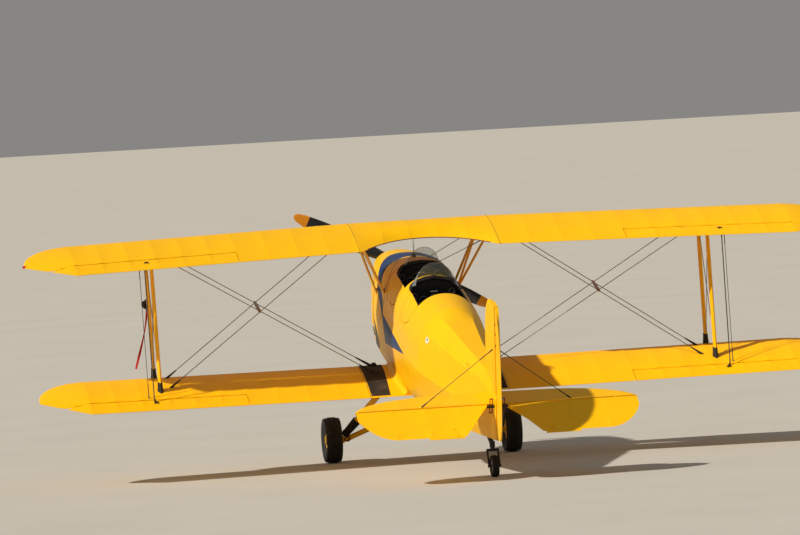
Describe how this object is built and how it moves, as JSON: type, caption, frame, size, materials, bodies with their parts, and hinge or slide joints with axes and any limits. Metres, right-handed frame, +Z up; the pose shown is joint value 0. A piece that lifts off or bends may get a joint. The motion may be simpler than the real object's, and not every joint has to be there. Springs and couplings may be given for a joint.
{
  "type": "two-seat open-cockpit training biplane",
  "caption": "Yellow two-seat training biplane with swept wings, open cockpits in tandem, drop-down doors and a fixed landing gear, parked on its wheels.",
  "frame": {"origin": "on the floor under the middle of the bounding box, as the aircraft stands on its three wheels", "axes": "+X out along the left wing, -Y towards the nose, +Z up"},
  "size_m": [7.398, 6.4584, 2.2756],
  "materials": {
    "doped_fabric": "doped and painted linen over ribs, warm yellow, satin gloss",
    "yellow_enamel": "yellow enamel on sheet metal and tube, glossy",
    "engine_metal": "cast light alloy, dull",
    "steel": "plain streamlined steel wire and tube",
    "exhaust_steel": "heat-blackened steel",
    "black_enamel": "black enamel",
    "seat": "dark painted bucket seat",
    "clear_screen": "clear bent acrylic sheet",
    "tyre": "black rubber tyre on a painted disc wheel",
    "propeller_wood": "laminated wood, black paint with yellow-orange tips"
  },
  "bodies": {
    "root": {"upper_wing_left": "doped_fabric", "upper_wing_right": "doped_fabric", "lower_wing_left": "doped_fabric", "lower_wing_right": "doped_fabric", "upper_centre_section": "doped_fabric", "cowl_nose": "yellow_enamel", "cowl_main": "yellow_enamel", "engine": "engine_metal", "exhaust_pipe": "exhaust_steel", "deck_front": "yellow_enamel", "deck_middle": "yellow_enamel", "fuselage_tub": "doped_fabric", "fuselage_rear": "doped_fabric", "seat_front": "seat", "seat_rear": "seat", "control_sticks": "black_enamel", "windscreen_front": "clear_screen", "windscreen_rear": "clear_screen", "fuel_gauge": "clear_screen", "lower_wing_root_left": "yellow_enamel", "lower_wing_root_right": "yellow_enamel", "interplane_struts_left": "yellow_enamel", "interplane_struts_right": "yellow_enamel", "cabane_struts_left": "yellow_enamel", "cabane_struts_right": "yellow_enamel", "wing_wires_left": "steel", "wing_wires_right": "steel", "tailplane_left": "doped_fabric", "tailplane_right": "doped_fabric", "fin": "doped_fabric", "tail_stay_left": "steel", "tail_stay_right": "steel", "gear_leg_left": "yellow_enamel", "gear_leg_right": "yellow_enamel", "gear_axles": "yellow_enamel", "tailwheel_leg": "steel"},
    "propeller": {"propeller": "propeller_wood"},
    "wheel_left": {"wheel_left": "tyre"},
    "wheel_right": {"wheel_right": "tyre"},
    "tailwheel_fork": {"tailwheel_fork": "steel"},
    "tailwheel": {"tailwheel": "tyre"},
    "rudder": {"rudder": "doped_fabric"},
    "elevator": {"elevator_left": "doped_fabric", "elevator_right": "doped_fabric"},
    "upper_aileron_left": {"upper_aileron_left": "doped_fabric"},
    "upper_aileron_right": {"upper_aileron_right": "doped_fabric"},
    "lower_aileron_left": {"lower_aileron_left": "doped_fabric"},
    "lower_aileron_right": {"lower_aileron_right": "doped_fabric"},
    "aileron_link_left": {"aileron_link_left": "steel"},
    "aileron_link_right": {"aileron_link_right": "steel"},
    "door_front_left": {"door_front_left": "yellow_enamel"},
    "door_front_right": {"door_front_right": "yellow_enamel"},
    "door_rear_left": {"door_rear_left": "yellow_enamel"},
    "door_rear_right": {"door_rear_right": "yellow_enamel"}
  },
  "joints": [
    {"name": "propeller_spin", "type": "hinge", "parent": "root", "child": "propeller", "pos_m": [0, -3.10819, 1.77977], "axis": [0, 0.977, -0.213], "continuous": true},
    {"name": "wheel_left_spin", "type": "hinge", "parent": "root", "child": "wheel_left", "pos_m": [0.833, -1.9357, 0.20995], "axis": [1, 0, 0], "continuous": true},
    {"name": "wheel_right_spin", "type": "hinge", "parent": "root", "child": "wheel_right", "pos_m": [-0.833, -1.9357, 0.20995], "axis": [1, 0, 0], "continuous": true},
    {"name": "tailwheel_swivel", "type": "hinge", "parent": "root", "child": "tailwheel_fork", "pos_m": [0, 2.19602, 0.25465], "axis": [0, 0, 1], "range_deg": [-40, 40]},
    {"name": "tailwheel_spin", "type": "hinge", "parent": "tailwheel_fork", "child": "tailwheel", "pos_m": [0, 2.25602, 0.09495], "axis": [1, 0, 0], "continuous": true},
    {"name": "rudder_turn", "type": "hinge", "parent": "root", "child": "rudder", "pos_m": [0, 2.65149, 0.52395], "axis": [0, 0.213, 0.977], "range_deg": [-21, 33]},
    {"name": "elevator_turn", "type": "hinge", "parent": "root", "child": "elevator", "pos_m": [0, 2.59403, 0.62655], "axis": [1, 0, 0], "range_deg": [0, 46]},
    {"name": "lower_aileron_left_turn", "type": "hinge", "parent": "root", "child": "lower_aileron_left", "pos_m": [1.765, -0.61089, 0.70175], "axis": [0.9802, 0.1978, 0.013], "range_deg": [-20, 20]},
    {"name": "lower_aileron_right_turn", "type": "hinge", "parent": "root", "child": "lower_aileron_right", "pos_m": [-1.765, -0.61089, 0.70175], "axis": [-0.9802, 0.1978, 0.013], "range_deg": [-20, 20]},
    {"name": "upper_aileron_left_turn", "type": "hinge", "parent": "root", "child": "upper_aileron_left", "pos_m": [1.772, -0.72071, 1.98025], "axis": [0.9813, 0.1917, -0.0164], "range_deg": [-20, 20]},
    {"name": "upper_aileron_right_turn", "type": "hinge", "parent": "root", "child": "upper_aileron_right", "pos_m": [-1.772, -0.72071, 1.98025], "axis": [-0.9813, 0.1917, -0.0164], "range_deg": [-20, 20]},
    {"name": "aileron_link_left_turn", "type": "hinge", "parent": "lower_aileron_left", "child": "aileron_link_left", "pos_m": [2.623, -0.40346, 0.74349], "axis": [0.9802, 0.1978, 0.013], "range_deg": [-22, 22]},
    {"name": "aileron_link_right_turn", "type": "hinge", "parent": "lower_aileron_right", "child": "aileron_link_right", "pos_m": [-2.623, -0.40346, 0.74349], "axis": [-0.9802, 0.1978, 0.013], "range_deg": [-22, 22]},
    {"name": "door_front_left_swing", "type": "hinge", "parent": "root", "child": "door_front_left", "pos_m": [0.3377, -1.22944, 1.4776], "axis": [0.0033, 0.977, -0.213], "range_deg": [0, 150]},
    {"name": "door_front_right_swing", "type": "hinge", "parent": "root", "child": "door_front_right", "pos_m": [-0.3377, -1.22944, 1.4776], "axis": [0.0033, -0.977, 0.213], "range_deg": [0, 150]},
    {"name": "door_rear_left_swing", "type": "hinge", "parent": "root", "child": "door_rear_left", "pos_m": [0.33851, -0.58459, 1.337], "axis": [-0.006, 0.977, -0.213], "range_deg": [0, 150]},
    {"name": "door_rear_right_swing", "type": "hinge", "parent": "root", "child": "door_rear_right", "pos_m": [-0.33851, -0.58459, 1.337], "axis": [-0.006, -0.977, 0.213], "range_deg": [0, 150]}
  ],
  "couplings": [
    {"joint": "lower_aileron_right_turn", "follows": "lower_aileron_left_turn", "ratio": 1},
    {"joint": "upper_aileron_left_turn", "follows": "lower_aileron_left_turn", "ratio": 1},
    {"joint": "upper_aileron_right_turn", "follows": "lower_aileron_left_turn", "ratio": 1},
    {"joint": "aileron_link_left_turn", "follows": "lower_aileron_left_turn", "ratio": -1.06},
    {"joint": "aileron_link_right_turn", "follows": "lower_aileron_left_turn", "ratio": -1.06}
  ]
}
